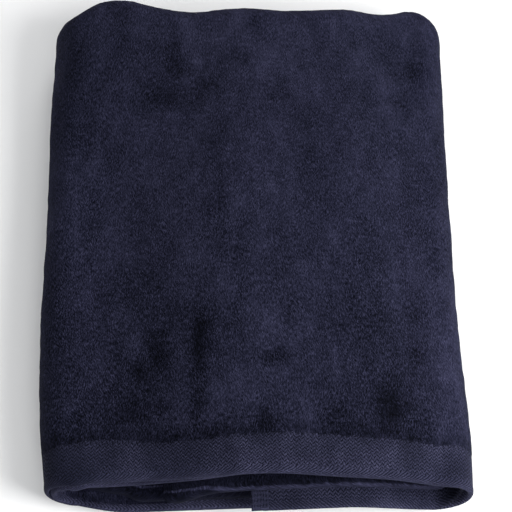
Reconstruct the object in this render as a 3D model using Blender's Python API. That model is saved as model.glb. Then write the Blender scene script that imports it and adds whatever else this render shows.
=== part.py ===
"""A cotton hand towel, folded for the shelf, as one closed sheet.

The towel is 480 x 1000 mm when spread out. It is halved across its length
twice, which makes a stack of four plies with both hems at the front, and the
stack is then wrapped widthwise: a flap turned in at the right, and the rest
folded under at the left. So the sheet is a back-and-forth profile of four
plies, in a plane of depth and height, swept along a curve across the towel.

Units are metres, +Z is up, +X is right and the hems face -Y.
"""

import math

import bmesh
import bpy

# The cloth.
FLAT_LENGTH = 1.0
CLOTH = 0.0033  # thickness of the pile field
BORDER = 0.0027  # thickness of the flat-woven end borders
BORDER_DEPTH = 0.0185
CREASED = 0.0027  # thickness where the cloth is bent sharply
PITCH = 0.0039  # from one ply of the stack to the next

# The stack of four plies. Ply 0 is the outermost one.
STACK_PLIES = 4
STACK_HEIGHT = (STACK_PLIES - 1) * PITCH
TURN_SLACK = 0.0005  # what the tightest widthwise turn is eased by
HEM_PITCH = 0.0033  # from one hem to the other, which lie closer
MIDDLE_SET_BACK = 0.0090  # from the hems to the fold of the towel's middle

# The folded towel.
FOLDED_WIDTH = 0.208
TURN_RADIUS = STACK_HEIGHT + PITCH / 2 + TURN_SLACK
TURN_X = FOLDED_WIDTH / 2 - TURN_RADIUS - CLOTH / 2
LOW_MIDLINE = CLOTH / 2 + TURN_RADIUS
FLAP_RAISES = STACK_PLIES * PITCH
LEFT_SLOPE = (-0.076, 0.002)  # x where the top climbs over the flap's edge
RIGHT_SLOPE_START = 0.043  # x where it starts to come down to the right turn
RIGHT_SLOPE_END = -0.25  # its slope as it enters that turn

# Where each ply ends across the towel: ply number, end of the flap, end of the
# bottom layer. Inner plies reach further, because their turns are tighter.
PLY_ENDS = (
    # ply, flap_x, bottom_x
    (0, 0.006, 0.025),
    (1, -0.001, 0.029),
    (2, -0.029, 0.033),
    (3, -0.042, 0.036),
)
FAN_DEPTH = 0.10  # the plies' ends come together over this depth at the back
SHARED_FLAP_X = 0.010  # from here and here on, all plies have the same stations
SHARED_BOTTOM_X = 0.020

# How far each layer stands ahead at the front. The flap and the bottom layer
# were turned in a little askew, and the top layer's hems wander.
FLAP_AHEAD = 0.0070  # at the right turn
FLAP_SKEW = 0.035  # more of it for each metre towards the flap's edge
FLAP_MIDDLE_AHEAD = 0.0040  # how much less the middle is set back at its corner
FLAP_MIDDLE_SPAN = (-0.016, -0.042)
TOP_AHEAD = (
    # x, ahead
    (-0.088, 0.0006),
    (-0.078, -0.0011),
    (-0.055, -0.0012),
    (-0.030, -0.0008),
    (0.010, -0.0022),
    (0.055, 0.0002),
    (0.088, 0.0015),
)
BOTTOM_AHEAD = 0.0075
BOTTOM_AHEAD_FROM = -0.060  # x where the bottom layer is fully ahead
BOTTOM_SKEW = 0.030  # less of it for each metre from there
BOTTOM_MIDDLE_AHEAD = (  # how much less the middle is set back there
    # x, ahead
    (-0.080, 0.0008),
    (-0.064, 0.0012),
    (-0.054, 0.0050),
)
INNER_HEM_AHEAD = 0.0006  # how far the hem of ply 1 shows past that of ply 0
RIGHT_TURN_HEM_BACK = 0.0012  # how far it draws back in the right turn
TOP_INNER_HEM_AHEAD = (
    # x, ahead
    (-0.088, 0.0014),
    (-0.055, 0.0013),
    (-0.025, 0.0003),
    (0.005, -0.0010),
    (0.088, -0.0012),
)

# Mesh density.
TURN_STEPS = 8
BACK_TURN_STEPS = 8
TIGHT_TURN_STEPS = 5
FLAP_EDGE_STEPS = 3  # from a ply's own end to where all plies share stations
FLAP_STEPS = 7
TOP_STEPS = 15
BOTTOM_STEPS = 7
PLY_STEPS = 6

# Soft unevenness: centre x, centre y, half-widths across and along, and what
# is added there, as a share of the height and as lengths back and sideways.
SWELLS = (
    # x, y, across, along, height_share, back, sideways
    (-0.096, 0.115, 0.013, 0.050, 0.04, -0.0040, 0.0000),
    (-0.072, 0.120, 0.023, 0.055, 0.25, 0.0075, 0.0000),
    (-0.024, 0.120, 0.019, 0.050, -0.07, -0.0012, 0.0000),
    (0.026, 0.120, 0.034, 0.050, -0.03, -0.0047, 0.0000),
    (0.070, 0.125, 0.018, 0.050, -0.16, 0.0007, 0.0000),
    (0.088, 0.122, 0.011, 0.045, -0.15, 0.0065, 0.0000),
    (-0.105, 0.070, 0.040, 0.050, 0.00, 0.0000, -0.0010),
    (-0.105, -0.045, 0.040, 0.050, 0.00, 0.0000, -0.0012),
    (-0.105, -0.085, 0.040, 0.035, 0.00, 0.0000, 0.0010),
    (-0.105, -0.135, 0.040, 0.032, 0.00, 0.0000, 0.0050),
    (0.105, 0.040, 0.040, 0.070, 0.00, 0.0000, -0.0006),
    (0.105, -0.080, 0.040, 0.035, 0.00, 0.0000, 0.0006),
    (0.105, -0.115, 0.040, 0.050, 0.00, 0.0000, 0.0030),
    (0.030, 0.000, 0.080, 0.090, 0.03, 0.0000, 0.0000),
)

COLOUR = (0.013, 0.015, 0.045, 1.0)


def smooth(t):
    """0 to 1 with level ends."""
    t = min(max(t, 0.0), 1.0)
    return t * t * (3.0 - 2.0 * t)


def stations(start, end, steps):
    """Evenly spaced values from start to end, both included."""
    return [start + (end - start) * i / steps for i in range(steps + 1)]


def eased(x, table):
    """The value at x in a table of (x, value), level at each of its rows."""
    for (x0, a), (x1, b) in zip(table, table[1:]):
        if x <= x1:
            return a + (b - a) * smooth((x - x0) / (x1 - x0))
    return table[-1][1]


def midline(x):
    """(height, slope) of the line that the top layer and what is under it share."""
    left, crest = LEFT_SLOPE
    if x <= crest:
        t = min(max((x - left) / (crest - left), 0.0), 1.0)
        rise = smooth(t)
        slope = 6 * t * (1 - t) / (crest - left)
        return LOW_MIDLINE + FLAP_RAISES * rise, FLAP_RAISES * slope
    if x <= RIGHT_SLOPE_START:
        return LOW_MIDLINE + FLAP_RAISES, 0.0
    span = TURN_X - RIGHT_SLOPE_START
    t = (x - RIGHT_SLOPE_START) / span
    drop = 1 - smooth(t)
    bend = (t**3 - t**2) * span * RIGHT_SLOPE_END
    slope = -6 * t * (1 - t) / span * FLAP_RAISES
    slope += (3 * t**2 - 2 * t) * RIGHT_SLOPE_END
    return LOW_MIDLINE + FLAP_RAISES * drop + bend, slope


def beside_midline(x, side):
    """Point and inward normal of the outermost ply, above (1) or below (-1)."""
    height, slope = midline(x)
    size = math.hypot(1.0, slope)
    up = (-slope / size, 1.0 / size)
    point = (x + side * TURN_RADIUS * up[0], height + side * TURN_RADIUS * up[1])
    return point, (-side * up[0], -side * up[1])


def turn(centre_x, start, end, steps):
    """Points and inward normals round a widthwise turn, its ends left out."""
    height, slope = midline(centre_x)
    tilt = math.atan(slope)
    found = []
    for i in range(1, steps):
        angle = tilt + start + (end - start) * i / steps
        out = (math.cos(angle), math.sin(angle))
        point = (centre_x + TURN_RADIUS * out[0], height + TURN_RADIUS * out[1])
        found.append((point, (-out[0], -out[1])))
    return found


def ply_end(ply, side):
    """Where a ply ends: its x on the flap (side 1) or the bottom layer (2)."""
    low = min(int(ply), STACK_PLIES - 2)
    a, b = PLY_ENDS[low], PLY_ENDS[low + 1]
    return a[side] + (b[side] - a[side]) * (ply - low)


def sweep(ply, fan):
    """The curve across the towel: point, inward normal, how far ahead its whole
    length is, and how far ahead three things are at the front alone: all plies,
    the hem of ply 1 past that of ply 0, and the fold of the towel's middle.

    The straight ends depend on the ply: fan is 1 where each ply has its own
    end, and 0 where all of them end with ply 0.
    """
    flap_x = fan * ply_end(ply, 1) + (1 - fan) * ply_end(0, 1)
    bottom_x = fan * ply_end(ply, 2) + (1 - fan) * ply_end(0, 2)
    path = []
    flap = stations(flap_x, SHARED_FLAP_X, FLAP_EDGE_STEPS)[:-1]
    flap += stations(SHARED_FLAP_X, TURN_X, FLAP_STEPS)
    inner, outer = FLAP_MIDDLE_SPAN
    for x in flap:
        ahead = FLAP_AHEAD + FLAP_SKEW * (TURN_X - x)
        middle = FLAP_MIDDLE_AHEAD * smooth((x - inner) / (outer - inner))
        path.append((*beside_midline(x, -1), ahead, (0.0, INNER_HEM_AHEAD, middle)))
    right = turn(TURN_X, -math.pi / 2, math.pi / 2, TURN_STEPS)
    for i, (point, normal) in enumerate(right):
        share = smooth((i + 1) / TURN_STEPS)
        hem = INNER_HEM_AHEAD * (1 - share) + TOP_INNER_HEM_AHEAD[-1][1] * share
        hem -= RIGHT_TURN_HEM_BACK * 4 * share * (1 - share)
        fronts = (TOP_AHEAD[-1][1] * share, hem, 0.0)
        path.append((point, normal, FLAP_AHEAD * (1 - share), fronts))
    for x in stations(TURN_X, -TURN_X, TOP_STEPS):
        fronts = (eased(x, TOP_AHEAD), eased(x, TOP_INNER_HEM_AHEAD), 0.0)
        path.append((*beside_midline(x, 1), 0.0, fronts))
    bottom = turn(-TURN_X, math.pi / 2, 3 * math.pi / 2, TURN_STEPS)
    for x in stations(-TURN_X, SHARED_BOTTOM_X, BOTTOM_STEPS) + [bottom_x]:
        bottom.append(((x, CLOTH / 2), (0.0, 1.0)))
    reach = BOTTOM_AHEAD_FROM + TURN_X
    for point, normal in bottom:
        below = (TURN_RADIUS + LOW_MIDLINE - point[1]) / (2 * TURN_RADIUS)
        along = (point[0] + TURN_X) / reach
        share = smooth((below + min(max(along, 0.0), 1.0)) / 2)
        back_again = BOTTOM_SKEW * max(point[0] - BOTTOM_AHEAD_FROM, 0.0)
        hem = TOP_INNER_HEM_AHEAD[0][1] * (1 - share) + INNER_HEM_AHEAD * share
        fronts = (-back_again, hem, eased(point[0], BOTTOM_MIDDLE_AHEAD) * share)
        path.append((point, normal, BOTTOM_AHEAD * share, fronts))
    return path


def depth_of_back():
    """How far behind the hems the plies turn at the back, from the flat length."""
    turns = math.pi * (1.5 * PITCH + 0.5 * PITCH + 0.5 * PITCH)
    return (FLAT_LENGTH - turns + 2 * MIDDLE_SET_BACK) / STACK_PLIES


def straight(front, height, heading):
    """Points along a ply's pile field, at the same depths on every ply."""
    depths = [front] + stations(0.0, depth_of_back(), PLY_STEPS)[1:]
    return [(y, height, (0.0, heading), CLOTH) for y in depths]


def bend(centre_y, centre_h, radius, start, end, steps, inward, thick):
    """Points round a turn of the stack, its ends left out."""
    found = []
    for i in range(1, steps):
        angle = start + (end - start) * i / steps
        out = (math.cos(angle), math.sin(angle))
        place = (centre_y + radius * out[0], centre_h + radius * out[1])
        found.append((*place, (inward * out[0], inward * out[1]), thick))
    return found


def hem_end(height, field_height, heading):
    """The flat-woven border of a ply, from its rim to the pile."""
    return [
        (0.0, height, (0.0, heading), BORDER * 0.62),
        (0.0009, height, (0.0, heading), BORDER * 1.08),
        (0.0060, height, (0.0, heading), BORDER),
        (BORDER_DEPTH, field_height, (0.0, heading), BORDER),
    ]


def stack_profile():
    """The centreline of the four plies: depth, height, normal and thickness."""
    back = depth_of_back()
    field = BORDER_DEPTH + 0.0012
    middle = MIDDLE_SET_BACK + PITCH / 2
    half = math.pi / 2
    line = hem_end(HEM_PITCH, PITCH, 1.0)
    line += straight(field, PITCH, 1.0)
    line += bend(back, 1.5 * PITCH, PITCH / 2, -half, half, TIGHT_TURN_STEPS, -1, CREASED)
    line += straight(middle, 2 * PITCH, -1.0)[::-1]
    line += bend(middle, 2.5 * PITCH, PITCH / 2, -half, -3 * half, TIGHT_TURN_STEPS, 1, CREASED)
    line += straight(middle, 3 * PITCH, 1.0)
    line += bend(back, 1.5 * PITCH, 1.5 * PITCH, half, -half, BACK_TURN_STEPS, 1, CLOTH)
    line += straight(field, 0.0, -1.0)[::-1]
    line += hem_end(0.0, 0.0, -1.0)[::-1]
    return line


def outline(line):
    """The closed profile: one side of the centreline out, the other back."""
    sides = []
    for side in (1, -1):
        row = [
            (y + side * normal[0] * thick / 2, h + side * normal[1] * thick / 2, y, h)
            for y, h, normal, thick in line
        ]
        sides.append(row if side == 1 else row[::-1])
    return sides[0] + sides[1]


def swell(x, y, z, height):
    """The folded towel's unevenness. The underside stays flat on z = 0."""
    share, back, sideways = 0.0, 0.0, 0.0
    for cx, cy, across, along, lift, push, shift in SWELLS:
        near = math.exp(-(((x - cx) / across) ** 2) - ((y - cy) / along) ** 2)
        share += near * lift
        back += near * push
        sideways += near * shift
    level = min(z / height, 1.0)
    return x + sideways, y + back * level, z * (1 + share)


def towel_points():
    """Rings of points, one for each station across the towel."""
    line = stack_profile()
    back = depth_of_back()
    rings = None
    for y, h, centre_y, centre_h in outline(line):
        ply = min(max(centre_h / PITCH, 0.0), STACK_PLIES - 1.0)
        fan = smooth((back - centre_y) / FAN_DEPTH)
        front = min(max(1 - centre_y / back, 0.0), 1.0)
        path = sweep(ply, fan)
        if rings is None:
            rings = [[] for _ in path]
        hem_share, middle_share = max(1 - abs(ply - 1), 0.0), smooth(ply - 1)
        for ring, (point, normal, ahead, (all_plies, hem, middle)) in zip(rings, path):
            ahead += front * (all_plies + hem_share * hem + middle_share * middle)
            depth = y - ahead - back / 2
            place = (point[0] + h * normal[0], depth, point[1] + h * normal[1])
            ring.append(swell(*place, 2 * TURN_RADIUS))
    return rings


def centred(rings):
    """The points with the middle of their box over the origin, resting on z = 0."""
    flat = [point for ring in rings for point in ring]
    middle = [(min(p[k] for p in flat) + max(p[k] for p in flat)) / 2 for k in (0, 1)]
    low = min(p[2] for p in flat)
    return [[(p[0] - middle[0], p[1] - middle[1], p[2] - low) for p in ring] for ring in rings]


def make_towel():
    mesh = bpy.data.meshes.new("towel")
    bm = bmesh.new()
    rings = [[bm.verts.new(point) for point in ring] for ring in centred(towel_points())]
    count = len(rings[0])
    for near, far in zip(rings, rings[1:]):
        for i in range(count):
            j = (i + 1) % count
            bm.faces.new((near[i], near[j], far[j], far[i]))
    half = count // 2
    for ring in (rings[0], rings[-1]):
        for i in range(half - 1):
            bm.faces.new((ring[i], ring[i + 1], ring[-2 - i], ring[-1 - i]))
    bmesh.ops.recalc_face_normals(bm, faces=bm.faces)
    bm.to_mesh(mesh)
    bm.free()
    mesh.shade_smooth()
    towel = bpy.data.objects.new("towel", mesh)
    bpy.context.scene.collection.objects.link(towel)
    return towel


def cotton():
    material = bpy.data.materials.new("navy_cotton")
    material.use_nodes = True
    shader = material.node_tree.nodes["Principled BSDF"]
    shader.inputs["Base Color"].default_value = COLOUR
    shader.inputs["Roughness"].default_value = 0.95
    shader.inputs["Metallic"].default_value = 0.0
    return material


def main():
    for old in list(bpy.data.objects):
        bpy.data.objects.remove(old)
    make_towel().data.materials.append(cotton())


main()
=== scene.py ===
"""Looks of a folded hand towel: navy cut-pile cotton with flat herringbone borders.

The cloth is one thin sheet on the folds of its CAD solid: a profile of four
plies, back and forth, swept along a curve across the towel. It is built much
finer than the solid where it shows, and carries its own weaving coordinates,
which place the pile, the borders, the hems and the brushed patches.
"""

import math

import bpy
import numpy as np
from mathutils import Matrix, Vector


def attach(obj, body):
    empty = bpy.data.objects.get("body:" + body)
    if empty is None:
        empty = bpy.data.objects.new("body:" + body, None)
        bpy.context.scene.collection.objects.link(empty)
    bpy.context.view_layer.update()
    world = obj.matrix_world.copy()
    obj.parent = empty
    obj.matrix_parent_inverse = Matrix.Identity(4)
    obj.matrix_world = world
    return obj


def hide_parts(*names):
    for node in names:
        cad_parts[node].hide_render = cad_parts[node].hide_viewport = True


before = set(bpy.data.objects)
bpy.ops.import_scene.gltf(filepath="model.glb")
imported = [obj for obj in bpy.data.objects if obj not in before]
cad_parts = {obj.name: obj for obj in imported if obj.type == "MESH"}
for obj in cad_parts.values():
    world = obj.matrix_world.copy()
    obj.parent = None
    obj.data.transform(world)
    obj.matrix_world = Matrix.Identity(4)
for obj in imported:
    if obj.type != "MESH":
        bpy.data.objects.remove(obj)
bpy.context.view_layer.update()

# ---------------------------------------------------------------- sizes, in metres

# The cloth and its folds, as in the solid.
FLAT_LENGTH = 1.0
CLOTH = 0.0033
BORDER = 0.0027
BORDER_DEPTH = 0.0185
CREASED = 0.0027
PITCH = 0.0039
STACK_PLIES = 4
STACK_HEIGHT = (STACK_PLIES - 1) * PITCH
TURN_SLACK = 0.0005
HEM_PITCH = 0.0033
MIDDLE_SET_BACK = 0.0090
FOLDED_WIDTH = 0.208
TURN_RADIUS = STACK_HEIGHT + PITCH / 2 + TURN_SLACK
TURN_X = FOLDED_WIDTH / 2 - TURN_RADIUS - CLOTH / 2
LOW_MIDLINE = CLOTH / 2 + TURN_RADIUS
FLAP_RAISES = STACK_PLIES * PITCH
LEFT_SLOPE = (-0.076, 0.002)
RIGHT_SLOPE_START = 0.043
RIGHT_SLOPE_END = -0.25
PLY_FLAP_X = (0.006, -0.001, -0.029, -0.042)  # where each ply of the flap ends
PLY_BOTTOM_X = (0.025, 0.029, 0.033, 0.036)  # and each ply of the bottom layer
FAN_DEPTH = 0.10
SHARED_FLAP_X = 0.010
SHARED_BOTTOM_X = 0.020
FLAP_AHEAD = 0.0070
FLAP_SKEW = 0.035
FLAP_MIDDLE_AHEAD = 0.0040
FLAP_MIDDLE_SPAN = (-0.016, -0.042)
TOP_AHEAD = (
    # x, ahead
    (-0.088, 0.0006),
    (-0.078, -0.0011),
    (-0.055, -0.0012),
    (-0.030, -0.0008),
    (0.010, -0.0022),
    (0.055, 0.0002),
    (0.088, 0.0015),
)
BOTTOM_AHEAD = 0.0075
BOTTOM_AHEAD_FROM = -0.060
BOTTOM_SKEW = 0.030
BOTTOM_MIDDLE_AHEAD = (
    # x, ahead
    (-0.080, 0.0008),
    (-0.064, 0.0012),
    (-0.054, 0.0050),
)
INNER_HEM_AHEAD = 0.0006
RIGHT_TURN_HEM_BACK = 0.0034  # 2.2 mm more than in the solid
TOP_INNER_HEM_AHEAD = (
    # x, ahead
    (-0.088, 0.0014),
    (-0.055, 0.0013),
    (-0.025, 0.0003),
    (0.005, -0.0010),
    (0.088, -0.0012),
)
SWELLS = (
    # x, y, across, along, lift, back, sideways
    (-0.096, 0.115, 0.013, 0.050, 0.04, -0.0040, 0.0000),
    (-0.072, 0.120, 0.023, 0.055, 0.25, 0.0075, 0.0000),
    (-0.024, 0.120, 0.019, 0.050, -0.07, -0.0012, 0.0000),
    (0.026, 0.120, 0.034, 0.050, -0.03, -0.0047, 0.0000),
    (0.070, 0.125, 0.018, 0.050, -0.16, 0.0007, 0.0000),
    (0.088, 0.122, 0.011, 0.045, -0.15, 0.0065, 0.0000),
    (-0.105, 0.070, 0.040, 0.050, 0.00, 0.0000, -0.0010),
    (-0.105, -0.045, 0.040, 0.050, 0.00, 0.0000, -0.0012),
    (-0.105, -0.085, 0.040, 0.035, 0.00, 0.0000, 0.0010),
    (-0.105, -0.135, 0.040, 0.032, 0.00, 0.0000, 0.0050),
    (0.105, 0.040, 0.040, 0.070, 0.00, 0.0000, -0.0006),
    (0.105, -0.080, 0.040, 0.035, 0.00, 0.0000, 0.0006),
    (0.105, -0.115, 0.040, 0.050, 0.00, 0.0000, 0.0030),
    (0.030, 0.000, 0.080, 0.090, 0.03, 0.0000, 0.0000),
)

# How finely the sheet is made: steps on each stretch across the towel, and
# steps along the outer ply and along the plies that hardly show.
FLAP_EDGE_STEPS = 8
FLAP_STEPS = 20
TURN_STEPS = 24
TOP_STEPS = 124
BOTTOM_STEPS = 28
OUTER_PLY_STEPS = 144
INNER_PLY_STEPS = 12
TIGHT_TURN_STEPS = 7
BACK_TURN_STEPS = 14

# How far the pile stands over the border, and less than 0 where the border is deeper.
PILE_REACH = (
    # distance across the cloth, reach
    (0.085, 0.0000),
    (0.105, 0.0010),
    (0.128, -0.0020),
    (0.145, -0.0011),
    (0.215, -0.0014),
    (0.275, 0.0003),
    (0.302, -0.0026),
    (0.314, -0.0028),
    (0.338, 0.0006),
    (0.360, 0.0000),
)

# The camera, at the photograph's height and distance.
CAMERA_TARGET = Vector((0.0022, 0.0017, 0.0))
CAMERA_AZIMUTH = math.radians(-0.34)
CAMERA_ELEVATION = math.radians(68.92)
CAMERA_DISTANCE = 0.7063
CAMERA_LENS_MM = 94.6

# The pile where it has been brushed the other way, and wide painted shade over the front half and
# painted light at the back: darker below 0, lighter above.
BRUSHED_AND_SHADED = (
    # x, y, across, along, tone
    (-0.040, 0.107, 0.0031, 0.0072, -0.80),
    (-0.039, 0.092, 0.0036, 0.0053, -1.00),
    (-0.051, 0.075, 0.0072, 0.0046, -0.60),
    (-0.043, 0.074, 0.0051, 0.0040, -0.50),
    (-0.022, 0.079, 0.0041, 0.0035, -0.40),
    (-0.059, 0.098, 0.0010, 0.0012, -0.80),
    (-0.092, 0.099, 0.0037, 0.0243, -0.30),
    (-0.075, 0.129, 0.0021, 0.0056, -0.40),
    (-0.028, 0.094, 0.0021, 0.0029, 0.50),
    (-0.010, 0.110, 0.0063, 0.0108, 0.25),
    (-0.004, 0.095, 0.0041, 0.0041, -0.50),
    (0.085, 0.096, 0.0042, 0.0035, -0.80),
    (0.074, 0.108, 0.0052, 0.0036, -0.40),
    (0.069, 0.099, 0.0042, 0.0030, -0.40),
    (0.088, 0.080, 0.0041, 0.0082, -0.40),
    (0.075, 0.091, 0.0052, 0.0029, -0.35),
    (0.054, 0.104, 0.0016, 0.0048, -0.40),
    (0.002, 0.114, 0.0026, 0.0030, -0.40),
    (-0.025, -0.059, 0.0029, 0.0131, -0.90),
    (-0.021, -0.049, 0.0048, 0.0025, -0.60),
    (-0.026, -0.090, 0.0028, 0.0068, -1.10),
    (-0.046, -0.058, 0.0048, 0.0070, -0.50),
    (-0.054, -0.071, 0.0028, 0.0039, -0.90),
    (-0.045, -0.067, 0.0038, 0.0040, -0.50),
    (-0.058, -0.092, 0.0085, 0.0075, -0.65),
    (-0.043, -0.090, 0.0036, 0.0030, -0.95),
    (-0.083, -0.093, 0.0042, 0.0042, -0.75),
    (-0.084, -0.103, 0.0066, 0.0030, -0.60),
    (-0.056, -0.056, 0.0036, 0.0060, 0.85),
    (-0.017, -0.082, 0.0028, 0.0049, 0.40),
    (-0.007, -0.086, 0.0066, 0.0097, 0.35),
    (-0.058, -0.099, 0.0043, 0.0024, 0.40),
    (0.012, -0.068, 0.0100, 0.0027, -0.80),
    (0.040, -0.053, 0.0043, 0.0030, -0.35),
    (0.029, -0.060, 0.0029, 0.0030, -0.35),
    (0.065, -0.092, 0.0047, 0.0097, -1.00),
    (0.040, -0.096, 0.0045, 0.0065, -0.80),
    (0.052, -0.101, 0.0061, 0.0045, -0.40),
    (0.006, -0.100, 0.0050, 0.0065, -0.90),
    (0.078, -0.066, 0.0034, 0.0085, -0.60),
    (0.080, -0.044, 0.0048, 0.0031, -0.40),
    (0.081, -0.101, 0.0056, 0.0057, -0.45),
    (-0.015, -0.103, 0.0158, 0.0024, -0.50),
    (-0.091, -0.094, 0.0007, 0.0044, 0.50),
    # The next three wide rows are painted shade over the front half and painted light over the
    # back, not brushed pile.
    (-0.060, -0.070, 0.0400, 0.0450, -0.22),
    (0.050, -0.070, 0.0300, 0.0450, -0.22),
    (0.000, 0.115, 0.0700, 0.0250, 0.12),
    (-0.085, 0.090, 0.0180, 0.0300, -0.35),
    (-0.050, 0.080, 0.0120, 0.0120, -0.25),
    (-0.023, 0.109, 0.0080, 0.0140, 0.40),
    (0.003, 0.079, 0.0140, 0.0100, 0.25),
    (0.029, 0.114, 0.0060, 0.0070, 0.45),
    (0.066, 0.112, 0.0120, 0.0100, -0.30),
    (0.082, 0.099, 0.0100, 0.0100, -0.25),
    (0.094, 0.100, 0.0080, 0.0300, 0.40),
    (-0.101, -0.071, 0.0080, 0.0500, -0.35),
    (-0.061, -0.048, 0.0090, 0.0100, 0.35),
    (-0.048, -0.073, 0.0140, 0.0200, -0.35),
    (-0.090, -0.101, 0.0100, 0.0100, -0.45),
    (-0.012, -0.057, 0.0080, 0.0080, -0.30),
    (0.016, -0.053, 0.0100, 0.0080, 0.40),
    (0.068, -0.084, 0.0140, 0.0160, -0.35),
    (0.073, -0.095, 0.0100, 0.0080, -0.30),
    (0.030, -0.094, 0.0160, 0.0140, 0.20),
    (-0.008, -0.098, 0.0180, 0.0080, -0.25),
    (0.097, -0.085, 0.0090, 0.0450, 0.55),
    (0.085, -0.053, 0.0080, 0.0100, 0.25),
    (0.075, -0.057, 0.0080, 0.0100, -0.25),
    (-0.090, -0.124, 0.0350, 0.0120, -0.60),
    (-0.046, -0.052, 0.0085, 0.0130, -0.30),
    (-0.026, -0.066, 0.0030, 0.0180, -0.45),
    (-0.062, -0.119, 0.0160, 0.0075, 0.36),
    (0.053, -0.117, 0.0270, 0.0080, 0.40),
    (0.096, -0.119, 0.0090, 0.0085, -0.55),
    (-0.083, -0.119, 0.0070, 0.0085, -0.38),
    (-0.054, -0.118, 0.0110, 0.0080, 0.36),
    (0.090, -0.120, 0.0080, 0.0070, -0.26),
    (0.070, -0.121, 0.0080, 0.0070, -0.24),
)
PATCH_DEPTH = 0.0003  # how much a fully dark patch lies lower
PATCH_REACH = 1.18  # by how much the patches are wider than their rows say
PATCH_ABOVE = 0.012  # the height from which they show, over as much again

# The unevenness of the cloth: smooth random bumps.
PILE_BUMPS = (
    # across, along, height, seed
    (0.0130, 0.0190, 0.00030, 21),
    (0.0048, 0.0065, 0.00018, 22),
    (0.0028, 0.0034, 0.00014, 23),
)
BORDER_BUMPS = ((0.020, 0.020, 0.00012, 24),)
PILE_TONES = (
    # across, along, tone, seed
    (0.011, 0.021, 0.30, 13),
    (0.005, 0.009, 0.22, 14),
)
PATCH_EDGES_ACROSS = ((0.0035, 0.0035, 0.0012, 11),)
PATCH_EDGES_ALONG = ((0.0035, 0.0050, 0.0016, 12),)
LAST_TUFTS = (
    # across, along, how far over the border, seed
    (0.0016, 1.0, 0.0006, 31),
    (0.0060, 1.0, 0.0004, 32),
)
LAST_TUFTS_WIDTH = 0.0012
PILE_EDGE_WIDTH = 0.0015
UNSHOWN_STATIONS = 3  # next to the turns' ends, where the cloth is left plain
FADING_STATIONS = 5  # from there to the full relief

# ---------------------------------------------------------------- the folded form


def smooth(t):
    """0 to 1 with level ends."""
    t = np.clip(t, 0.0, 1.0)
    return t * t * (3.0 - 2.0 * t)


def eased(x, table):
    """The values at x in a table of (x, value), level at each of its rows."""
    knots, values = np.array(table).T
    i = np.clip(np.searchsorted(knots, x, side="right") - 1, 0, len(knots) - 2)
    share = smooth((x - knots[i]) / (knots[i + 1] - knots[i]))
    return values[i] + (values[i + 1] - values[i]) * share


def midline(x):
    """Height and slope of the line that the top layer and what is under it share."""
    left, crest = LEFT_SLOPE
    climb = np.clip((x - left) / (crest - left), 0.0, 1.0)
    span = TURN_X - RIGHT_SLOPE_START
    fall = np.clip((x - RIGHT_SLOPE_START) / span, 0.0, 1.0)
    height = LOW_MIDLINE + FLAP_RAISES * (smooth(climb) - smooth(fall))
    height = height + (fall**3 - fall**2) * span * RIGHT_SLOPE_END
    slope = FLAP_RAISES * 6 * climb * (1 - climb) / (crest - left)
    slope = slope - FLAP_RAISES * 6 * fall * (1 - fall) / span
    slope = slope + (3 * fall**2 - 2 * fall) * RIGHT_SLOPE_END
    return height, slope


def beside_midline(x, side):
    """Points and inward normals of the outermost ply, above (1) or below (-1)."""
    height, slope = midline(x)
    size = np.hypot(1.0, slope)
    up = np.stack([-slope / size, 1.0 / size], -1)
    middle = np.stack([x, height], -1)
    return middle + side * TURN_RADIUS * up, -side * up


def turn(centre_x, start, end):
    """Points and inward normals round a widthwise turn, its ends left out."""
    height, slope = midline(np.float64(centre_x))
    angle = math.atan(slope) + np.linspace(start, end, TURN_STEPS + 1)[1:-1]
    out = np.stack([np.cos(angle), np.sin(angle)], -1)
    return np.array([centre_x, height]) + TURN_RADIUS * out, -out


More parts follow.
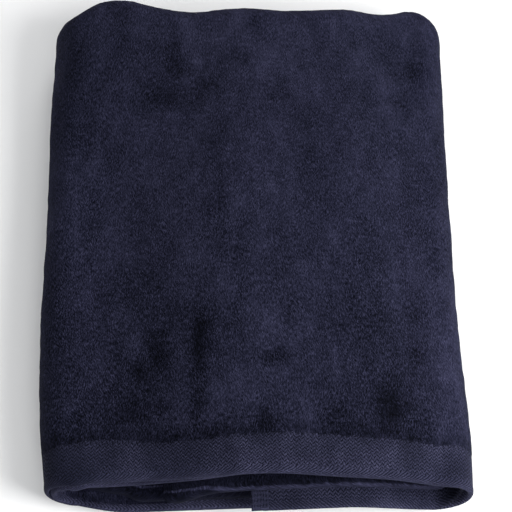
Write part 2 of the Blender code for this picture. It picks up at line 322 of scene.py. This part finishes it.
def sweep(ply, fan):
    """The curve across the towel for one ply: points, inward normals, how far
    ahead its whole length is, and how far ahead three things are at the front
    alone: all plies, the inner hem, and the fold of the towel's middle."""
    plies = range(STACK_PLIES)
    own_flap, own_bottom = np.interp(ply, plies, PLY_FLAP_X), np.interp(ply, plies, PLY_BOTTOM_X)
    flap_x = fan * own_flap + (1 - fan) * PLY_FLAP_X[0]
    bottom_x = fan * own_bottom + (1 - fan) * PLY_BOTTOM_X[0]

    def stretch(place, normal, ahead, all_plies, hem, middle):
        fronts = np.zeros((len(place), 4))
        for column, value in enumerate((ahead, all_plies, hem, middle)):
            fronts[:, column] = value
        return place, normal, fronts

    flap = np.linspace(flap_x, SHARED_FLAP_X, FLAP_EDGE_STEPS + 1)[:-1]
    flap = np.append(flap, np.linspace(SHARED_FLAP_X, TURN_X, FLAP_STEPS + 1))
    ahead = FLAP_AHEAD + FLAP_SKEW * (TURN_X - flap)
    inner, outer = FLAP_MIDDLE_SPAN
    middle = FLAP_MIDDLE_AHEAD * smooth((flap - inner) / (outer - inner))
    parts = [stretch(*beside_midline(flap, -1), ahead, 0.0, INNER_HEM_AHEAD, middle)]

    share = smooth(np.arange(1, TURN_STEPS) / TURN_STEPS)
    hem = INNER_HEM_AHEAD * (1 - share) + TOP_INNER_HEM_AHEAD[-1][1] * share
    hem = hem - RIGHT_TURN_HEM_BACK * 4 * share * (1 - share)
    right = turn(TURN_X, -math.pi / 2, math.pi / 2)
    parts.append(stretch(*right, FLAP_AHEAD * (1 - share), TOP_AHEAD[-1][1] * share, hem, 0.0))

    top = np.linspace(TURN_X, -TURN_X, TOP_STEPS + 1)
    hems = eased(top, TOP_AHEAD), eased(top, TOP_INNER_HEM_AHEAD)
    parts.append(stretch(*beside_midline(top, 1), 0.0, *hems, 0.0))

    left_place, left_normal = turn(-TURN_X, math.pi / 2, 3 * math.pi / 2)
    under = np.append(np.linspace(-TURN_X, SHARED_BOTTOM_X, BOTTOM_STEPS + 1), bottom_x)
    place = np.concatenate([left_place, np.stack([under, np.full(len(under), CLOTH / 2)], -1)])
    normal = np.concatenate([left_normal, np.tile([0.0, 1.0], (len(under), 1))])
    below = (TURN_RADIUS + LOW_MIDLINE - place[:, 1]) / (2 * TURN_RADIUS)
    along = np.clip((place[:, 0] + TURN_X) / (BOTTOM_AHEAD_FROM + TURN_X), 0.0, 1.0)
    share = smooth((below + along) / 2)
    again = -BOTTOM_SKEW * np.maximum(place[:, 0] - BOTTOM_AHEAD_FROM, 0.0)
    hem = TOP_INNER_HEM_AHEAD[0][1] * (1 - share) + INNER_HEM_AHEAD * share
    middle = eased(place[:, 0], BOTTOM_MIDDLE_AHEAD) * share
    parts.append(stretch(place, normal, BOTTOM_AHEAD * share, again, hem, middle))
    return [np.concatenate(column) for column in zip(*parts)]


FLAP_STATIONS = FLAP_EDGE_STEPS + FLAP_STEPS + 1
TOP_START = FLAP_STATIONS + TURN_STEPS - 1
TOP_END = TOP_START + TOP_STEPS + 1
LEFT_END = TOP_END + TURN_STEPS - 1


def depth_of_back():
    """How far behind the hems the plies turn at the back, from the flat length."""
    turns = math.pi * (1.5 * PITCH + 0.5 * PITCH + 0.5 * PITCH)
    return (FLAT_LENGTH - turns + 2 * MIDDLE_SET_BACK) / STACK_PLIES


BACK = depth_of_back()


# Each row of the profile's centreline is depth, height, normal, thickness, and
# whether both faces of the cloth need it.


def straight(front, height, heading, steps):
    """Rows along a ply's pile field, from the front to the back."""
    depths = np.linspace(front, BACK, steps + 1)
    skip = steps // INNER_PLY_STEPS
    return [(y, height, (0.0, heading), CLOTH, i % skip == 0) for i, y in enumerate(depths)]


def bend(centre_y, centre_h, radius, start, end, steps, inward, thick):
    """Rows round a turn of the stack, its ends left out."""
    found = []
    for angle in np.linspace(start, end, steps + 1)[1:-1]:
        out = (math.cos(angle), math.sin(angle))
        place = (centre_y + radius * out[0], centre_h + radius * out[1])
        found.append((*place, (inward * out[0], inward * out[1]), thick, True))
    return found


RIM = (
    # behind the rim, share of the border's thickness
    (-0.0003, 0.40),
    (0.0001, 0.76),
    (0.0007, 1.00),
    (0.0015, 1.08),
    (0.0026, 1.10),
    (0.0038, 1.02),
    (0.0046, 0.97),
)
RIM_DEPTH = 0.0060


def hem_end(height, field_height, heading):
    """Rows over the flat-woven border of a ply, from its rounded rim to the pile."""
    rim = list(RIM) + [(y, 1.0) for y in np.linspace(0.0060, BORDER_DEPTH - 0.0004, 10)]
    found = []
    for y, share in rim:
        rise = max(y - RIM_DEPTH, 0.0) / (BORDER_DEPTH - RIM_DEPTH)
        level = height + (field_height - height) * rise
        found.append((y, level, (0.0, heading), BORDER * share, True))
    return found


def stack_profile():
    """The centreline of the four plies, and the number of its rows before the
    fold that goes round at the back into the outermost ply."""
    field = BORDER_DEPTH + 0.0006
    middle = MIDDLE_SET_BACK + PITCH / 2
    half = math.pi / 2
    few, many = INNER_PLY_STEPS, OUTER_PLY_STEPS
    line = hem_end(HEM_PITCH, PITCH, 1.0)
    line += straight(field, PITCH, 1.0, few)
    line += bend(BACK, 1.5 * PITCH, PITCH / 2, -half, half, TIGHT_TURN_STEPS, -1, CREASED)
    line += straight(middle, 2 * PITCH, -1.0, few)[::-1]
    line += bend(middle, 2.5 * PITCH, PITCH / 2, -half, -3 * half, TIGHT_TURN_STEPS, 1, CREASED)
    line += straight(middle, 3 * PITCH, 1.0, few)
    inner_rows = len(line)
    line += bend(BACK, 1.5 * PITCH, 1.5 * PITCH, half, -half, BACK_TURN_STEPS, 1, CLOTH)
    line += straight(field, 0.0, -1.0, many)[::-1]
    line += hem_end(0.0, 0.0, -1.0)[::-1]
    return line, inner_rows


def outline(line):
    """The closed profile: one side of the centreline out, the other back. Each
    row is depth, height, centre depth, centre height, and distance along. The
    pairs are the rows that face each other through the cloth."""
    centre = np.array([row[:2] for row in line])
    along = np.append(0.0, np.cumsum(np.hypot(*np.diff(centre, axis=0).T)))
    along *= FLAT_LENGTH / along[-1]
    faces = ([], [])
    for side, face in zip((1, -1), faces):
        for i, ((y, h, normal, thick, both), v) in enumerate(zip(line, along)):
            if side == 1 or both:
                reach = side * thick / 2
                face.append((y + normal[0] * reach, h + normal[1] * reach, y, h, v))
    rows = np.array(faces[0] + faces[1][::-1])
    shared = [i for i, row in enumerate(line) if row[4]]
    pairs = [(i, len(rows) - 1 - k) for k, i in enumerate(shared)]
    return rows, pairs


def swell(x, y, z):
    """The folded towel's unevenness. The underside stays flat on z = 0."""
    share, back, sideways = 0.0, 0.0, 0.0
    for cx, cy, across, along, lift, push, shift in SWELLS:
        near = np.exp(-(((x - cx) / across) ** 2) - ((y - cy) / along) ** 2)
        share = share + near * lift
        back = back + near * push
        sideways = sideways + near * shift
    level = np.minimum(z / (2 * TURN_RADIUS), 1.0)
    return np.stack([x + sideways, y + back * level, z * (1 + share)], -1)


def cloth_places(rows):
    """Where each row of the profile is at each station across the towel."""
    places = []
    for y, h, centre_y, centre_h, _ in rows:
        ply = min(max(centre_h / PITCH, 0.0), STACK_PLIES - 1.0)
        fan = smooth((BACK - centre_y) / FAN_DEPTH)
        front = min(max(1 - centre_y / BACK, 0.0), 1.0)
        point, normal, fronts = sweep(ply, fan)
        shares = np.array([1.0, front, front * max(1 - abs(ply - 1), 0.0), front * smooth(ply - 1)])
        depth = y - fronts @ shares - BACK / 2
        spot = point + h * normal
        places.append(swell(spot[:, 0], depth, spot[:, 1]))
    places = np.array(places)
    flat = places.reshape(-1, 3)
    low, high = flat.min(0), flat.max(0)
    return places - np.array([(low[0] + high[0]) / 2, (low[1] + high[1]) / 2, low[2]])


# ---------------------------------------------------------------- relief of the cloth


def rough(u, v, pitch_u, pitch_v, seed):
    """A smooth random field from -1 to 1, with bumps about one pitch wide."""
    s, t = u / pitch_u, v / pitch_v
    s, t = s - s.min() + 1, t - t.min() + 1
    grid = np.random.default_rng(seed).uniform(-1, 1, (int(s.max()) + 3, int(t.max()) + 3))
    i, j = s.astype(int), t.astype(int)
    a, b = smooth(s - i), smooth(t - j)
    near = grid[i, j] * (1 - a) + grid[i + 1, j] * a
    far = grid[i, j + 1] * (1 - a) + grid[i + 1, j + 1] * a
    return near * (1 - b) + far * b


def bumps(u, v, table):
    """The sum of the smooth random fields in a table of sizes, heights and seeds."""
    total = 0.0
    for across, along, height, seed in table:
        total = total + height * rough(u, v, across, along, seed)
    return total


def brushed_and_shaded(places, u, v):
    """How dark or light the pile is in the brushed patches and in the wide painted shade and
    painted light, all with ragged edges.
    """
    x = places[..., 0] + bumps(u, v, PATCH_EDGES_ACROSS)
    y = places[..., 1] + bumps(u, v, PATCH_EDGES_ALONG)
    tone = 0.0
    for cx, cy, across, along, strength in BRUSHED_AND_SHADED:
        away_x, away_y = (x - cx) / (PATCH_REACH * across), (y - cy) / (PATCH_REACH * along)
        tone = tone + strength * np.exp(-(away_x**2 + away_y**2))
    return tone * smooth((places[..., 2] - PATCH_ABOVE) / PATCH_ABOVE)


def outward(places):
    """Outward normals of the grid of places on the outer face."""
    by_row, by_station = np.gradient(places, axis=(0, 1))
    normal = np.cross(by_row, by_station)
    normal /= np.linalg.norm(normal, axis=-1, keepdims=True)
    top = (len(places) // 2, (TOP_START + TOP_END) // 2)
    return normal if normal[top][2] > 0 else -normal


def give_relief(places, u, v, tone):
    """Raises and sinks the outer face: uneven pile, brushed patches and the wide painted shade, a
    soft border.
    """
    end = np.minimum(v, FLAT_LENGTH - v)
    on_pile = smooth((end - BORDER_DEPTH) / PILE_EDGE_WIDTH)
    pile = bumps(u, v, PILE_BUMPS) + PATCH_DEPTH * np.clip(tone, -1, 1)
    relief = pile * on_pile + bumps(u, v, BORDER_BUMPS) * (1 - on_pile)
    station = np.arange(places.shape[1])[None, :]
    first, last = FLAP_STATIONS + UNSHOWN_STATIONS, LEFT_END - UNSHOWN_STATIONS
    shown = smooth((station - first) / FADING_STATIONS) * smooth((last - station) / FADING_STATIONS)
    off_rim = smooth((end - 0.0005) / 0.003)
    off_fold = smooth((v - v.min()) / 0.004)
    return places + outward(places) * (relief * shown * (off_rim * off_fold))[..., None]


def sheet_faces(count, stations, pairs):
    """Quads of the swept profile, and the caps at the towel's two side edges."""
    row, station = np.meshgrid(np.arange(count), np.arange(stations - 1), indexing="ij")
    here = row * stations + station
    there = (row + 1) % count * stations + station
    faces = np.stack([here, here + 1, there + 1, there], -1).reshape(-1, 4).tolist()
    for station, turned in ((0, False), (stations - 1, True)):
        for (a, c), (b, d) in zip(pairs, pairs[1:]):
            ring = [*range(a, b + 1), d, c]
            if turned:
                ring = ring[::-1]
            faces.append([i * stations + station for i in ring])
    return faces


def make_towel():
    """The towel's mesh, with its weaving coordinates and the tone of its pile."""
    line, inner_rows = stack_profile()
    rows, pairs = outline(line)
    places = cloth_places(rows)
    count, stations = places.shape[:2]

    steps = np.linalg.norm(np.diff(places, axis=1), axis=-1)
    u = np.concatenate([np.zeros((count, 1)), np.cumsum(steps, axis=1)], axis=1)
    v = np.repeat(rows[:, 4:5], stations, axis=1)
    side = np.minimum(u, u[:, -1:] - u)
    tone = bumps(u, v, PILE_TONES)

    outer = slice(inner_rows, len(line))
    tone[outer] += brushed_and_shaded(places[outer], u[outer], v[outer])
    places[outer] = give_relief(places[outer], u[outer], v[outer], tone[outer])

    # The pile's last row stands over the border unevenly.
    end = np.minimum(v, FLAT_LENGTH - v)
    near_edge = np.exp(-(((end - BORDER_DEPTH) / LAST_TUFTS_WIDTH) ** 2))
    places[..., 1] += bumps(u, v, LAST_TUFTS) * near_edge

    mesh = bpy.data.meshes.new("towel_cloth")
    mesh.from_pydata(places.reshape(-1, 3).tolist(), [], sheet_faces(count, stations, pairs))
    weave = np.stack([u, v, side], -1).astype(np.float32).reshape(-1)
    mesh.attributes.new("cloth", "FLOAT_VECTOR", "POINT").data.foreach_set("vector", weave)
    for name, values in (("tone", tone), ("reach", eased(u, PILE_REACH))):
        layer = mesh.attributes.new(name, "FLOAT", "POINT")
        layer.data.foreach_set("value", values.astype(np.float32).reshape(-1))
    mesh.shade_smooth()
    mesh.update()
    towel = bpy.data.objects.new("towel_cloth", mesh)
    bpy.context.scene.collection.objects.link(towel)
    return towel


# ---------------------------------------------------------------- materials


class Graph:
    """Short ways to add nodes to a material."""

    def __init__(self, name):
        self.material = bpy.data.materials.new(name)
        self.material.use_nodes = True
        self.tree = self.material.node_tree
        self.shader = self.tree.nodes["Principled BSDF"]

    def put(self, socket, value):
        if isinstance(value, bpy.types.NodeSocket):
            self.tree.links.new(value, socket)
        else:
            socket.default_value = value

    def node(self, kind, inputs=(), output=0, **settings):
        made = self.tree.nodes.new("ShaderNode" + kind)
        for key, value in settings.items():
            setattr(made, key, value)
        for key, value in dict(inputs).items():
            self.put(made.inputs[key], value)
        return made.outputs[output]

    def math(self, operation, *values):
        return self.node("Math", enumerate(values), operation=operation)

    def scaled(self, vector, sizes):
        """The coordinates counted in steps of these sizes."""
        steps = tuple(1 / size for size in sizes)
        return self.node("VectorMath", {0: vector, 1: steps}, operation="MULTIPLY")

    def noise(self, vector, sizes, detail=2.0, roughness=0.5):
        inputs = {"Vector": self.scaled(vector, sizes), "Scale": 1.0, "Detail": detail}
        return self.node("TexNoise", {**inputs, "Roughness": roughness})

    def ramp(self, value, low, high, to_low=0.0, to_high=1.0):
        """A value between two others, spread softly over a new range."""
        inputs = {"Value": value, "From Min": low, "From Max": high}
        inputs.update({"To Min": to_low, "To Max": to_high})
        return self.node("MapRange", inputs, interpolation_type="SMOOTHSTEP")

    def blend(self, share, low, high):
        """One number where the share is 0, the other where it is 1."""
        inputs = {"Factor": share, "A": low, "B": high}
        return self.mixed("FLOAT", "VALUE", inputs, 0)

    def colours(self, share, low, high, blend_type="MIX"):
        """The same for colours."""
        inputs = {"Factor": share, "A": low, "B": high}
        return self.mixed("RGBA", "RGBA", inputs, 2, blend_type=blend_type)

    def mixed(self, data_type, socket_type, inputs, output, **settings):
        """A mix node: its sockets of each kind share their names."""
        made = self.tree.nodes.new("ShaderNodeMix")
        made.data_type = data_type
        for key, value in settings.items():
            setattr(made, key, value)
        for key, value in inputs.items():
            kind = "VALUE" if key == "Factor" else socket_type
            for socket in made.inputs:
                if socket.name == key and socket.type == kind:
                    self.put(socket, value)
                    break
        return made.outputs[output]

    def about_zero(self, noise):
        """A noise shifted from around a half to around 0."""
        return self.math("SUBTRACT", noise, 0.5)

    def add(self, value, share, total):
        """The total with a share of the value added."""
        return self.math("MULTIPLY_ADD", value, share, total)

    def lit(self, colour, light):
        """A colour made lighter or darker, and a little greyer where it is lighter."""
        parts = [self.math("EXPONENT", self.math("MULTIPLY", light, share)) for share in GREYING]
        scale = self.node("CombineXYZ", enumerate(parts))
        return self.colours(1.0, colour, scale, "MULTIPLY")

    def wave(self, value):
        """A triangle wave from 0 to 1 and back over each whole number."""
        apart = self.math("SUBTRACT", self.math("FRACT", value), 0.5)
        return self.math("MULTIPLY", self.math("ABSOLUTE", apart), 2.0)


PILE = (0.0117, 0.0123, 0.0258, 1.0)
THREAD = (0.0158, 0.0165, 0.0328, 1.0)
SHEEN_TINT = (0.42, 0.46, 0.80, 1.0)
GREYING = (1.00, 0.96, 0.90)  # how much of any lightening red, green and blue get

# Sizes of the noises, across and along the cloth.
STREAK = (0.00055, 0.0021, 1.0)
SPECK = (0.00040, 0.0011, 1.0)
CLUMP = (0.0035, 0.0060, 1.0)
LIE = (0.009, 0.012, 1.0)  # areas whose tufts lean one way
EDGE_TUFT = (0.0009, 0.004, 1.0)
WANDER = (0.004, 0.004, 1.0)
YARN = (0.00055, 0.00050, 1.0)
STITCH = (0.0012, 0.0009, 1.0)

# The pile. Lights are logarithms: 0.7 doubles the colour, -0.7 halves it.
LEAN_LEFT, LEAN_RIGHT = 0.32, -0.22  # sideways for each step along
EDGE_TUFT_REACH = 0.0034
TUFT_LIGHT, TIP_LIGHT, TONE_LIGHT = 4.9, 2.4, 1.05
LIGHTEST, LIGHTEST_EASE = 0.75, 0.6
VERGE, VERGE_SHADE = 0.0085, -0.48  # the pile along a border: stronger clumps there, and painted shade

# In the left turn, pile shows almost up to the inner ply's hem.
COVERED_FROM, COVERED_TO = (0.318, 0.332), (0.394, 0.378)
COVERED_PLY_END = 0.25
COVERED_DEPTH = 0.0145

# The fold of the towel's middle: painted shade in it, and painted highlights along its fold line
# and on the flap's strip below that line.
FLAP_TO = 0.200  # the flap's plies lie on this side of it across the cloth
FOLD_SHADE, FOLD_CONTRAST = -1.1, 0.25
CREASE_HIGHLIGHT, LIP_HIGHLIGHT = 1.5, 1.2
CREASE_FRAY = 0.0022
TOP_MIDDLE = 0.220  # the middle of the top layer across the cloth

# The border: one zigzag across, from one row to the next, and its other yarns.
ZIGZAG = 0.0026
ROW = 0.0018
ZIGZAG_RISE = 0.62  # of a row
LEG_SHIFT = 0.35  # of a row, between a zigzag's two legs
RIM_STROKES = (0.0019, 0.0015)  # slanting strokes across and along
RIM_STROKES_TO = (0.0036, 0.0042)
LADDER = (0.00140, 0.0024)  # the side hem's bars across and along
SIDE_HEM = 0.008
SIDE_HEM_EDGE = 0.0006
YARN_LIGHT = 4.0
TURN_SHADE = -1.3  # painted shade on the inner ply's border, deep in the right turn


def cotton():
    """Velour pile, flat herringbone borders and narrow side hems, in navy."""
    g = Graph("navy_cotton")
    cloth = g.node("Attribute", output="Vector", attribute_name="cloth")
    tone = g.node("Attribute", output="Fac", attribute_name="tone")
    apart = g.node("SeparateXYZ", {0: cloth}).node.outputs
    u, v, side = apart[0], apart[1], apart[2]
    end = g.math("MINIMUM", v, g.math("SUBTRACT", FLAT_LENGTH, v))

    # Where the pile stops: ragged, because its last tufts lean over the border.
    lean = g.about_zero(g.noise(cloth, EDGE_TUFT, detail=3.0))
    reach = g.node("Attribute", output="Fac", attribute_name="reach")
    covered = g.math("MULTIPLY", g.ramp(u, *COVERED_FROM), g.ramp(u, *COVERED_TO))
    covered = g.math("MULTIPLY", covered, g.math("LESS_THAN", v, COVERED_PLY_END))
    stop = g.add(covered, COVERED_DEPTH, g.math("ADD", end, reach))
    pile_edge = g.add(lean, EDGE_TUFT_REACH, stop)
    on_pile = g.ramp(pile_edge, BORDER_DEPTH - 0.0008, BORDER_DEPTH - 0.0004)
    off_hem = g.ramp(side, SIDE_HEM, SIDE_HEM + SIDE_HEM_EDGE)

    # The pile: short streaks of tufts along the cloth, which lean a little
    # this way and that, and lighter tips. It shows more towards the front.
    turned = g.ramp(g.noise(cloth, LIE, detail=2.0), 0.42, 0.58)
    lean_left = g.node("CombineXYZ", {0: g.add(v, LEAN_LEFT, u), 1: v, 2: 0.0})
    lean_right = g.node("CombineXYZ", {0: g.add(v, LEAN_RIGHT, u), 1: v, 2: 0.0})
    tufts = g.blend(
        turned,
        g.noise(lean_left, STREAK, detail=2.0, roughness=0.7),
        g.noise(lean_right, STREAK, detail=2.0, roughness=0.7),
    )
    tips = g.noise(cloth, SPECK, detail=1.0)
    clumps = g.noise(cloth, CLUMP, detail=3.0, roughness=0.6)
    light = g.math("MULTIPLY", g.about_zero(tufts), TUFT_LIGHT)
    light = g.add(g.about_zero(tips), TIP_LIGHT, light)
    light = g.math("SMOOTH_MIN", light, LIGHTEST, LIGHTEST_EASE)
    light = g.math("MULTIPLY", light, g.ramp(end, 0.20, 0.10, 1.06, 1.25))
    light = g.math("MULTIPLY", light, g.ramp(tone, 0.6, -0.9, 0.75, 1.70))
    verge = g.ramp(stop, BORDER_DEPTH + VERGE, BORDER_DEPTH)
    light = g.add(g.about_zero(clumps), g.add(verge, 1.6, 1.1), light)
    light = g.add(tone, TONE_LIGHT, light)
    # Painted shade along the pile's edge, next to the border.
    light = g.add(verge, VERGE_SHADE, light)

    # The fold of the towel's middle: painted shade all through it, with a painted
    # highlight along its fold line, which lies lower on the flap, towards the right turn.
    fold = g.math("SUBTRACT", v, FLAT_LENGTH / 2)
    fold_shade_mask = g.ramp(g.math("ABSOLUTE", fold), 0.030, 0.003)
    light = g.math("MULTIPLY", light, g.add(fold_shade_mask, FOLD_CONTRAST, 1.0))
    light = g.add(fold_shade_mask, FOLD_SHADE, light)
    on_flap = g.math("LESS_THAN", u, FLAP_TO)
    lower = g.math("MULTIPLY", g.ramp(u, -0.006, 0.036, 0.0004, 0.0048), on_flap)
    frayed = g.about_zero(g.noise(cloth, WANDER, detail=3.0))
    line = g.math("ADD", fold, g.add(frayed, CREASE_FRAY, lower))
    # Painted highlight along the fold line.
    crease_highlight = g.ramp(g.math("ABSOLUTE", line), 0.0009, 0.0003, 0.0, CREASE_HIGHLIGHT)
    off_top = g.ramp(g.math("ABSOLUTE", g.math("SUBTRACT", u, TOP_MIDDLE)), 0.080, 0.088)
    crease_highlight = g.math("MULTIPLY", crease_highlight, off_top)
    # Painted highlight on the flap's strip below the fold line.
    lip_highlight = g.ramp(line, 0.0004, -0.0004, 0.0, LIP_HIGHLIGHT)
    lip_highlight = g.math("MULTIPLY", lip_highlight, g.math("MULTIPLY", on_flap, g.ramp(u, 0.028, 0.040)))
    crease_highlight = g.math("MAXIMUM", crease_highlight, g.math("MULTIPLY", lip_highlight, g.ramp(fold, -0.020, -0.014)))
    light = g.math("ADD", light, crease_highlight)
    pile_colour = g.lit(PILE, light)

    # The border: rows of zigzag, slanting strokes where it turns over the rim,
    # and a ladder along the side hem.
    zigzag = g.wave(g.math("DIVIDE", u, ZIGZAG))
    wander = g.noise(cloth, WANDER, detail=2.0)
    row = g.math("ADD", g.math("DIVIDE", end, ROW), g.math("MULTIPLY", zigzag, ZIGZAG_RISE))
    leg = g.math("FLOOR", g.math("MULTIPLY", g.math("FRACT", g.math("DIVIDE", u, ZIGZAG)), 2.0))
    row = g.add(leg, LEG_SHIFT, row)
    row = g.add(wander, 1.0, row)
    across, along = RIM_STROKES
    slant = g.math("ADD", g.math("DIVIDE", u, across), g.math("DIVIDE", end, along))
    slant = g.add(wander, 0.9, slant)
    beyond_rim = g.ramp(end, *RIM_STROKES_TO)
    twill = g.blend(beyond_rim, g.wave(slant), g.wave(row))
    across, along = LADDER
    bars = g.wave(g.add(wander, 0.9, g.math("DIVIDE", u, across)))
    steps = g.wave(g.add(wander, 1.2, g.math("DIVIDE", v, along)))
    ladder = g.add(steps, 0.26, g.add(bars, 0.24, 0.26))
    twill = g.blend(off_hem, ladder, twill)
    yarn = g.noise(cloth, YARN, detail=2.0, roughness=0.7)
    broken = g.noise(cloth, STITCH, detail=1.0)
    stroke = g.ramp(twill, 0.12, 0.62, -1.50, 0.50)
    faint, full = g.blend(beyond_rim, 0.45, 0.20), g.blend(beyond_rim, 0.75, 1.0)
    bright = g.math("MULTIPLY", stroke, g.ramp(broken, 0.34, 0.58, faint, full))
    bright = g.add(g.about_zero(yarn), YARN_LIGHT, bright)
    bright = g.add(g.about_zero(wander), 0.5, bright)
    bright = g.add(tone, 0.9, bright)

    # It is lighter towards its rim and where it goes under at the left, has a painted
    # highlight on the rim itself, and painted shade on the inner ply in the right turn.
    bright = g.math("ADD", bright, g.ramp(end, 0.0085, 0.0015, 0.0, 0.22))
    # Painted highlight on the rounded rim.
    bright = g.math("ADD", bright, g.ramp(end, 0.0018, 0.0008, 0.0, 0.14))
    bright = g.math("ADD", bright, g.ramp(u, 0.345, 0.375, 0.0, 0.25))
    # Painted shade on the inner ply's border, deep in the right turn.
    inner = g.math("MULTIPLY", g.ramp(v, 0.022, 0.018), g.ramp(u, 0.088, 0.104))
    inner = g.math("MULTIPLY", inner, g.ramp(u, 0.134, 0.122))
    bright = g.add(inner, TURN_SHADE, bright)
    thread_colour = g.lit(THREAD, bright)

    colour = g.colours(on_pile, thread_colour, pile_colour)
    g.put(g.shader.inputs["Base Color"], colour)
    g.put(g.shader.inputs["Roughness"], g.blend(on_pile, 0.80, 0.95))
    g.put(g.shader.inputs["Specular IOR Level"], 0.04)
    g.put(g.shader.inputs["Sheen Weight"], 0.03)
    g.put(g.shader.inputs["Sheen Roughness"], 0.45)
    g.put(g.shader.inputs["Sheen Tint"], SHEEN_TINT)

    # Heights in millimetres, for the bump.
    pile_mm = g.add(clumps, 0.7, g.math("MULTIPLY", tufts, 0.5))
    pile_mm = g.add(tips, 0.25, pile_mm)
    thread_mm = g.add(twill, 0.22, g.math("MULTIPLY", yarn, 0.12))
    height = g.blend(on_pile, thread_mm, pile_mm)
    bump = {"Strength": 1.0, "Distance": 0.001, "Height": height}
    g.put(g.shader.inputs["Normal"], g.node("Bump", bump))
    return g.material


def plain(name, colour, roughness):
    g = Graph(name)
    g.put(g.shader.inputs["Base Color"], colour)
    g.put(g.shader.inputs["Roughness"], roughness)
    return g.material


# ---------------------------------------------------------------- the studio


FLOOR_REACH = 3.0
FLOOR_LEVEL = -0.0002
FLOOR_COLOUR = (0.90, 0.90, 0.90, 1.0)


def make_floor():
    mesh = bpy.data.meshes.new("floor")
    signs = ((-1, -1), (1, -1), (1, 1), (-1, 1))
    corners = [(x * FLOOR_REACH, y * FLOOR_REACH, FLOOR_LEVEL) for x, y in signs]
    mesh.from_pydata(corners, [], [(0, 1, 2, 3)])
    mesh.materials.append(plain("pale_floor", FLOOR_COLOUR, 0.9))
    floor = bpy.data.objects.new("floor", mesh)
    bpy.context.scene.collection.objects.link(floor)
    return floor


def aim(thing, place, target):
    """Puts a camera or lamp at a place, looking at the target."""
    thing.location = place
    thing.rotation_euler = (Vector(target) - Vector(place)).to_track_quat("-Z", "Y").to_euler()


def make_camera():
    camera = bpy.data.objects.new("camera", bpy.data.cameras.new("camera"))
    camera.data.lens = CAMERA_LENS_MM
    camera.data.sensor_width = 36.0
    camera.data.clip_start = 0.01
    level = math.cos(CAMERA_ELEVATION)
    away = Vector((math.sin(CAMERA_AZIMUTH) * level, -math.cos(CAMERA_AZIMUTH) * level,
                   math.sin(CAMERA_ELEVATION)))
    aim(camera, CAMERA_TARGET + away * CAMERA_DISTANCE, CAMERA_TARGET)
    bpy.context.scene.collection.objects.link(camera)
    bpy.context.scene.camera = camera


LIGHTS = (
    # name, place, size, watts
    ("key", (0.80, -0.30, 0.62), 0.6, 14.0),
    ("front", (-0.10, -0.95, 0.60), 0.8, 5.5),
    ("back", (0.05, 1.00, 0.55), 0.8, 7.0),
)
LIGHTS_TARGET = (0, 0, 0.02)
SKY_COLOUR = (0.95, 0.97, 1.0, 1.0)
SKY_STRENGTH = 0.32


def make_lights():
    for name, place, size, watts in LIGHTS:
        light = bpy.data.lights.new(name, "AREA")
        light.shape = "SQUARE"
        light.size = size
        light.energy = watts
        lamp = bpy.data.objects.new(name, light)
        aim(lamp, place, LIGHTS_TARGET)
        bpy.context.scene.collection.objects.link(lamp)
    world = bpy.data.worlds.new("studio")
    world.use_nodes = True
    sky = world.node_tree.nodes["Background"].inputs
    sky["Color"].default_value = SKY_COLOUR
    sky["Strength"].default_value = SKY_STRENGTH
    bpy.context.scene.world = world
    bpy.context.scene.view_settings.view_transform = "Standard"


make_camera()
make_lights()
make_floor()

towel = make_towel()
towel.data.materials.append(cotton())
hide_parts("towel")
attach(towel, "root")
